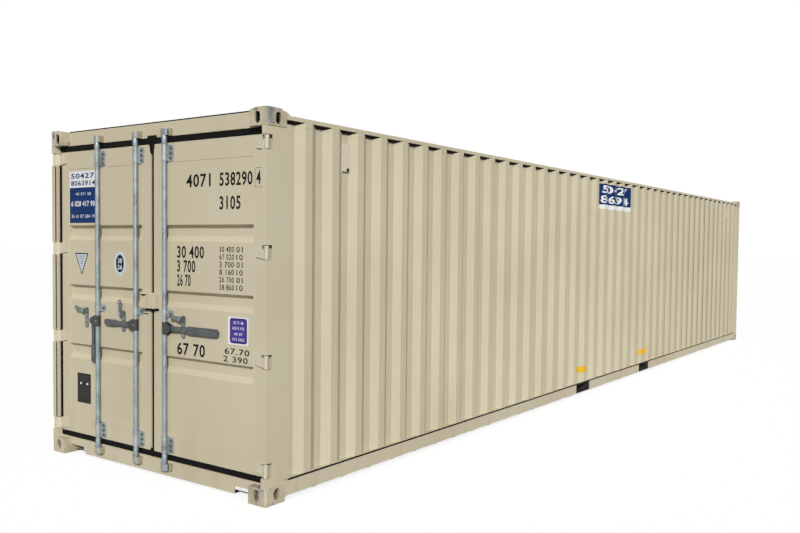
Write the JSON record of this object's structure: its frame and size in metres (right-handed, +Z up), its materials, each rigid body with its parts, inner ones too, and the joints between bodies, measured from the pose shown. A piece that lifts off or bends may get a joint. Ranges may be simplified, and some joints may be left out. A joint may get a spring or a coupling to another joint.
{
  "type": "dry freight container",
  "caption": "Long steel freight container with corrugated sides, double doors with lock bars, a timber floor and corner castings.",
  "frame": {"origin": "on the ground, under the middle of the container", "axes": "+Z up, +Y along the container from the doors to the closed end, +X to the right as seen by someone who faces the doors"},
  "size_m": [2.438, 12.192, 2.591],
  "materials": {
    "tan_paint": "satin",
    "casting_paint": "worn",
    "black_paint": "matte",
    "galvanised_steel": "galvanised",
    "dark_steel": "satin",
    "rubber_seal": "matte",
    "plywood": "oiled",
    "vent_plastic": "matte"
  },
  "bodies": {
    "container": {"castings_top": "casting_paint", "castings_bottom": "casting_paint", "door_post_right": "tan_paint", "door_post_left": "tan_paint", "front_posts": "tan_paint", "door_header": "tan_paint", "door_sill": "tan_paint", "front_top_rail": "tan_paint", "front_bottom_rail": "tan_paint", "top_side_rails": "tan_paint", "bottom_side_rails": "tan_paint", "side_wall_right": "tan_paint", "side_wall_left": "tan_paint", "front_wall": "tan_paint", "roof": "tan_paint", "cross_members": "black_paint", "fork_pockets": "black_paint", "gooseneck_tunnel": "black_paint", "floor_boards": "plywood", "floor_centre_rail": "black_paint", "cam_keepers": "tan_paint", "vents": "vent_plastic"},
    "right_door": {"right_door_frame": "tan_paint", "right_door_panel": "tan_paint", "right_door_seal": "rubber_seal", "right_door_hinges": "tan_paint", "right_door_lock_box": "tan_paint", "right_door_bar_brackets": "galvanised_steel", "right_door_handle_catches": "galvanised_steel"},
    "left_door": {"left_door_frame": "tan_paint", "left_door_panel": "tan_paint", "left_door_seal": "rubber_seal", "left_door_hinges": "tan_paint", "left_door_lock_box": "tan_paint", "left_door_bar_brackets": "galvanised_steel", "left_door_handle_catches": "galvanised_steel"},
    "lock_bar_1": {"lock_bar_1": "galvanised_steel"},
    "handle_1": {"handle_1": "dark_steel"},
    "catch_arm_1": {"catch_arm_1": "galvanised_steel"},
    "lock_bar_2": {"lock_bar_2": "galvanised_steel"},
    "handle_2": {"handle_2": "dark_steel"},
    "catch_arm_2": {"catch_arm_2": "galvanised_steel"},
    "lock_bar_3": {"lock_bar_3": "galvanised_steel"},
    "handle_3": {"handle_3": "dark_steel"},
    "catch_arm_3": {"catch_arm_3": "galvanised_steel"}
  },
  "joints": [
    {"name": "right_door_hinge", "type": "hinge", "parent": "container", "child": "right_door", "pos_m": [1.199, -6.077, 0.234], "axis": [0, 0, 1], "range_deg": [0, 264]},
    {"name": "left_door_hinge", "type": "hinge", "parent": "container", "child": "left_door", "pos_m": [-1.199, -6.077, 0.234], "axis": [0, 0, -1], "range_deg": [0, 264]},
    {"name": "lock_bar_1_turn", "type": "hinge", "parent": "left_door", "child": "lock_bar_1", "pos_m": [-0.64, -6.068, 1.098], "axis": [0, 0, -1], "range_deg": [-110, 0]},
    {"name": "handle_1_lift", "type": "hinge", "parent": "lock_bar_1", "child": "handle_1", "pos_m": [-0.695, -6.068, 1.098], "axis": [0, 1, 0], "range_deg": [0, 98]},
    {"name": "catch_arm_1_swing", "type": "hinge", "parent": "left_door", "child": "catch_arm_1", "pos_m": [-0.815, -6.083, 1.172], "axis": [0, -1, 0], "range_deg": [0, 102]},
    {"name": "lock_bar_2_turn", "type": "hinge", "parent": "left_door", "child": "lock_bar_2", "pos_m": [-0.167, -6.068, 1.098], "axis": [0, 0, -1], "range_deg": [-110, 0]},
    {"name": "handle_2_lift", "type": "hinge", "parent": "lock_bar_2", "child": "handle_2", "pos_m": [-0.222, -6.068, 1.098], "axis": [0, 1, 0], "range_deg": [-90, 8]},
    {"name": "catch_arm_2_swing", "type": "hinge", "parent": "left_door", "child": "catch_arm_2", "pos_m": [-0.342, -6.083, 1.172], "axis": [0, -1, 0], "range_deg": [0, 180]},
    {"name": "lock_bar_3_turn", "type": "hinge", "parent": "right_door", "child": "lock_bar_3", "pos_m": [0.165, -6.068, 1.098], "axis": [0, 0, 1], "range_deg": [-110, 0]},
    {"name": "handle_3_lift", "type": "hinge", "parent": "lock_bar_3", "child": "handle_3", "pos_m": [0.22, -6.068, 1.098], "axis": [0, -1, 0], "range_deg": [-90, 8]},
    {"name": "catch_arm_3_swing", "type": "hinge", "parent": "right_door", "child": "catch_arm_3", "pos_m": [0.345, -6.083, 1.172], "axis": [0, -1, 0], "range_deg": [0, 102]}
  ]
}
